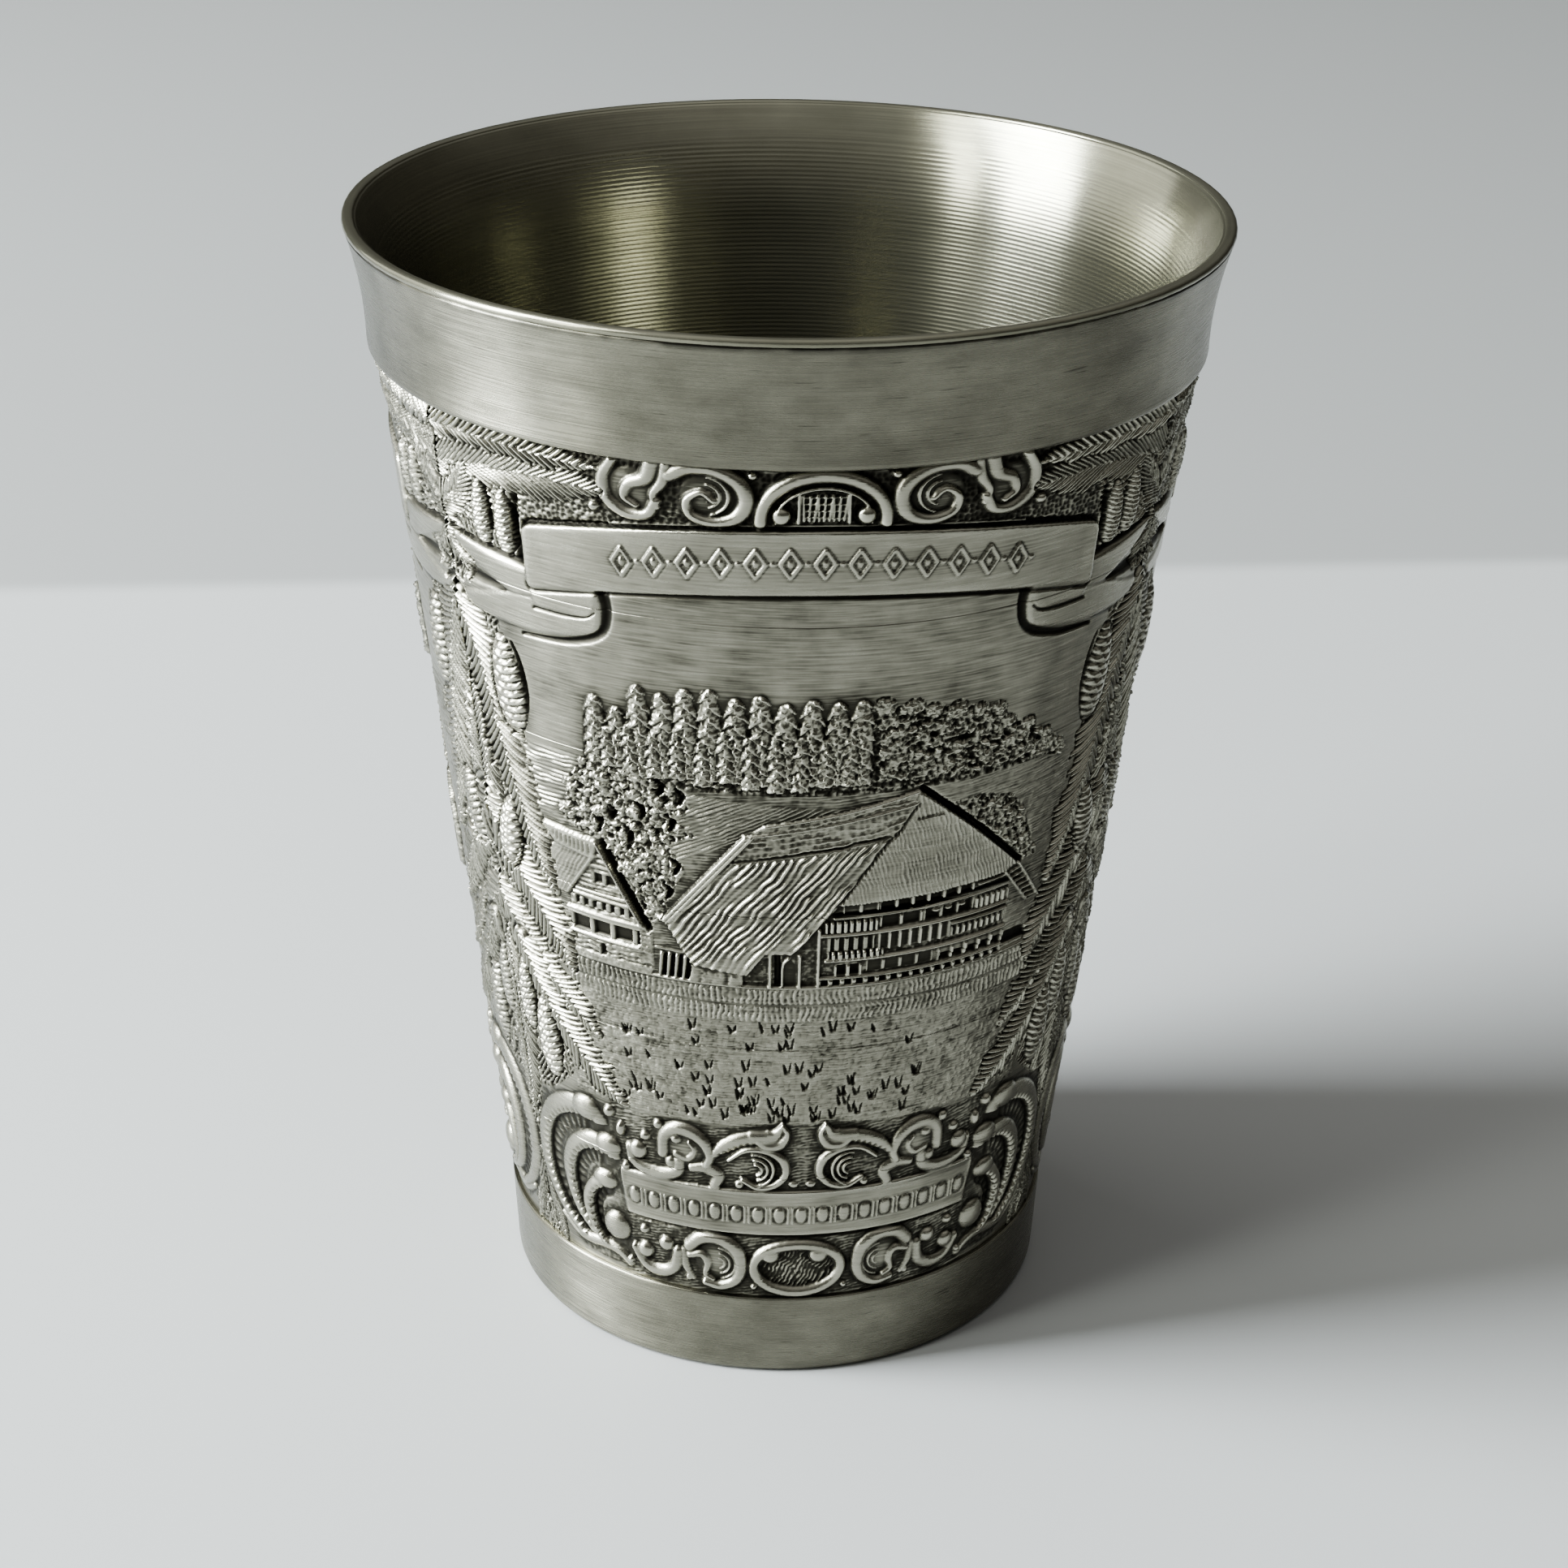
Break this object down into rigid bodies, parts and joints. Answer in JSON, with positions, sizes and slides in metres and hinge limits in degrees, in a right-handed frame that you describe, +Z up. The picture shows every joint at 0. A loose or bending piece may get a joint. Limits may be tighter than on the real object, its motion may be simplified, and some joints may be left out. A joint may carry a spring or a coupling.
{
  "type": "shot glass",
  "caption": "Small tapered pewter beaker for one measure of spirit, with a turned inside, cast relief panels, smooth rim and foot bands and a flat foot.",
  "frame": {"origin": "middle of the foot, on the plane that the beaker stands on", "axes": "+Z up through the open mouth; the front relief panel faces -Y, +X is to its right"},
  "size_m": [0.0444, 0.0444, 0.06],
  "materials": {
    "liner_metal": "turned pewter with fine lathe grooves, satin, slightly darkened inside",
    "band_metal": "smooth pewter, satin, fine horizontal polishing marks and light scratches",
    "relief_metal": "cast pewter, bright worn tops, near-black patina in the recesses",
    "solder_metal": "blackened soft solder, matt",
    "base_metal": "turned pewter disc, satin, with faint rings and a thin patina"
  },
  "bodies": {
    "root": {"liner_cup": "liner_metal", "rim_band": "band_metal", "relief_panel_front": "relief_metal", "relief_panel_right": "relief_metal", "relief_panel_left": "relief_metal", "seam_solder_right": "solder_metal", "seam_solder_back": "solder_metal", "seam_solder_left": "solder_metal", "foot_band": "band_metal", "base_disc": "base_metal", "base_solder": "solder_metal"}
  },
  "joints": []
}
